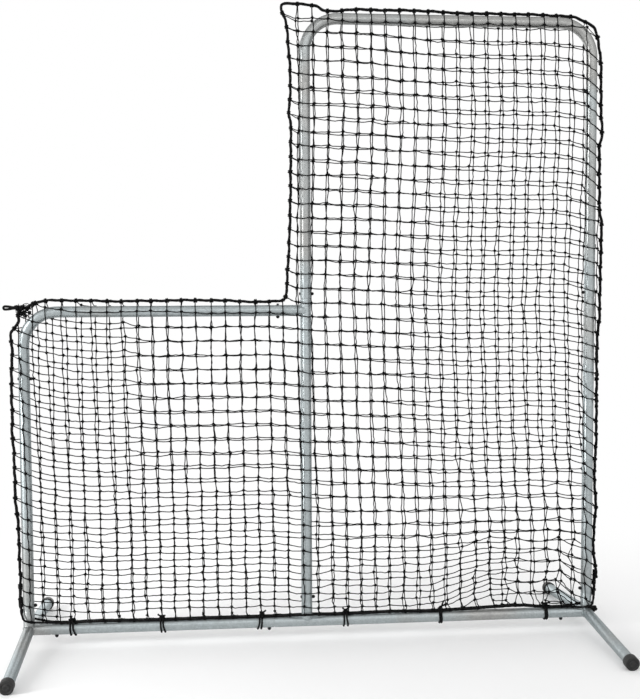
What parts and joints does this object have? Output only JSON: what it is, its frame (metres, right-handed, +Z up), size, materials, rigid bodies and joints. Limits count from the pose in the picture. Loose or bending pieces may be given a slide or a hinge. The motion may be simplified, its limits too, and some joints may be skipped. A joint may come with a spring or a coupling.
{
  "type": "baseball safety screen",
  "caption": "Free-standing L-shaped pitching screen of bolted steel tube on cross feet, covered with knotted netting, with an open notch to throw through.",
  "frame": {"origin": "on the floor, midway between the outer posts and midway between the front and rear end caps", "axes": "+Z up, +X from the low bay with the notch towards the tall bay, -Y towards the batter's side in the picture"},
  "size_m": [2.0852, 0.9236, 2.2104],
  "materials": {
    "galvanised_tube": "galvanised, dull spangle",
    "black_fastener": "black coated, satin",
    "black_rubber": "matt",
    "net_twine": "knotted twine, matt",
    "black_rope": "braided rope, matt"
  },
  "bodies": {
    "root": {"left_foot": "galvanised_tube", "right_foot": "galvanised_tube", "bottom_rail_left": "galvanised_tube", "bottom_rail_right": "galvanised_tube", "left_post": "galvanised_tube", "corner_rail": "galvanised_tube", "middle_post_lower": "galvanised_tube", "middle_post_upper": "galvanised_tube", "top_rail": "galvanised_tube", "right_post_upper": "galvanised_tube", "right_post_lower": "galvanised_tube", "bolt_left_foot_post": "black_fastener", "bolt_left_foot_rail": "black_fastener", "bolt_right_foot_post": "black_fastener", "bolt_right_foot_rail": "black_fastener", "bolt_bottom_splice": "black_fastener", "bolt_middle_foot": "black_fastener", "bolt_low_rail": "black_fastener", "bolt_corner": "black_fastener", "bolt_middle_splice": "black_fastener", "bolt_right_splice": "black_fastener", "bolt_top_middle": "black_fastener", "bolt_top_right": "black_fastener", "nut_left_foot_post": "black_fastener", "nut_left_foot_rail": "black_fastener", "nut_right_foot_post": "black_fastener", "nut_right_foot_rail": "black_fastener", "nut_bottom_splice": "black_fastener", "nut_middle_foot": "black_fastener", "nut_low_rail": "black_fastener", "nut_corner": "black_fastener", "nut_middle_splice": "black_fastener", "nut_right_splice": "black_fastener", "nut_top_middle": "black_fastener", "nut_top_right": "black_fastener", "end_cap_left_front": "black_rubber", "end_cap_left_rear": "black_rubber", "end_cap_right_front": "black_rubber", "end_cap_right_rear": "black_rubber", "net_front_low": "net_twine", "net_front_tall": "net_twine", "net_rear_low": "net_twine", "net_rear_tall": "net_twine", "edge_rope": "black_rope", "bottom_rope_rear": "black_rope", "corner_eye": "black_rope", "tie_1": "black_rope", "tie_2": "black_rope", "tie_3": "black_rope", "tie_4": "black_rope", "tie_5": "black_rope", "tie_6": "black_rope"}
  },
  "joints": []
}
